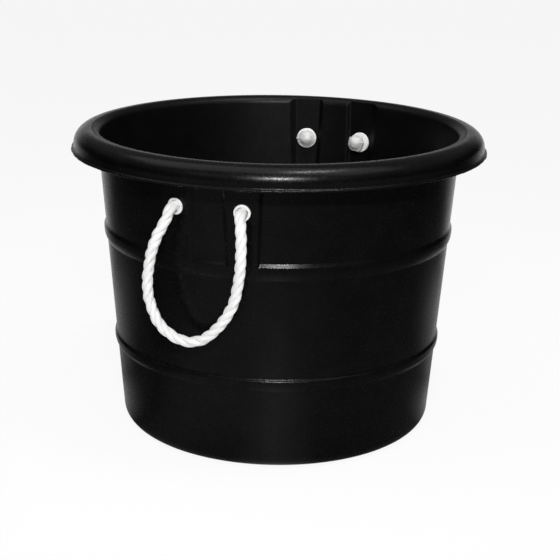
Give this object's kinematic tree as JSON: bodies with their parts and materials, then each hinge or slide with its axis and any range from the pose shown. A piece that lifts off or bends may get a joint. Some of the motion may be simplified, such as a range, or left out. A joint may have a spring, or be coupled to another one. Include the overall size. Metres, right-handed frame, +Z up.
{
  "type": "muck bucket",
  "caption": "Round tapered tub with a rolled rim, raised ribs and flat base, carried by rope loops that pass through bushed holes in its wall and end in melted heads inside.",
  "frame": {"origin": "centre of the base, on the plane that the tub stands on", "axes": "+Z up along the tub's axis; the rope handles are at -Y (front) and +Y (back), +X to the right of the front handle"},
  "size_m": [0.5479, 0.548, 0.4],
  "materials": {
    "tub": "semi-gloss moulded polyethylene",
    "grommet": "glossy",
    "rope_end": "melted and set",
    "rope": "laid rope"
  },
  "bodies": {
    "tub": {"tub": "tub", "grommet_front_left": "grommet", "grommet_front_right": "grommet", "grommet_back_left": "grommet", "grommet_back_right": "grommet", "rope_end_front_left": "rope_end", "rope_end_front_right": "rope_end", "rope_end_back_left": "rope_end", "rope_end_back_right": "rope_end"},
    "front_handle": {"rope_front": "rope"},
    "back_handle": {"rope_back": "rope"}
  },
  "joints": [
    {"name": "front_handle_swing", "type": "hinge", "parent": "tub", "child": "front_handle", "pos_m": [0, -0.24406, 0.33805], "axis": [-1, 0, 0], "range_deg": [0, 115]},
    {"name": "back_handle_swing", "type": "hinge", "parent": "tub", "child": "back_handle", "pos_m": [0, 0.24406, 0.33805], "axis": [1, 0, 0], "range_deg": [0, 115]}
  ]
}
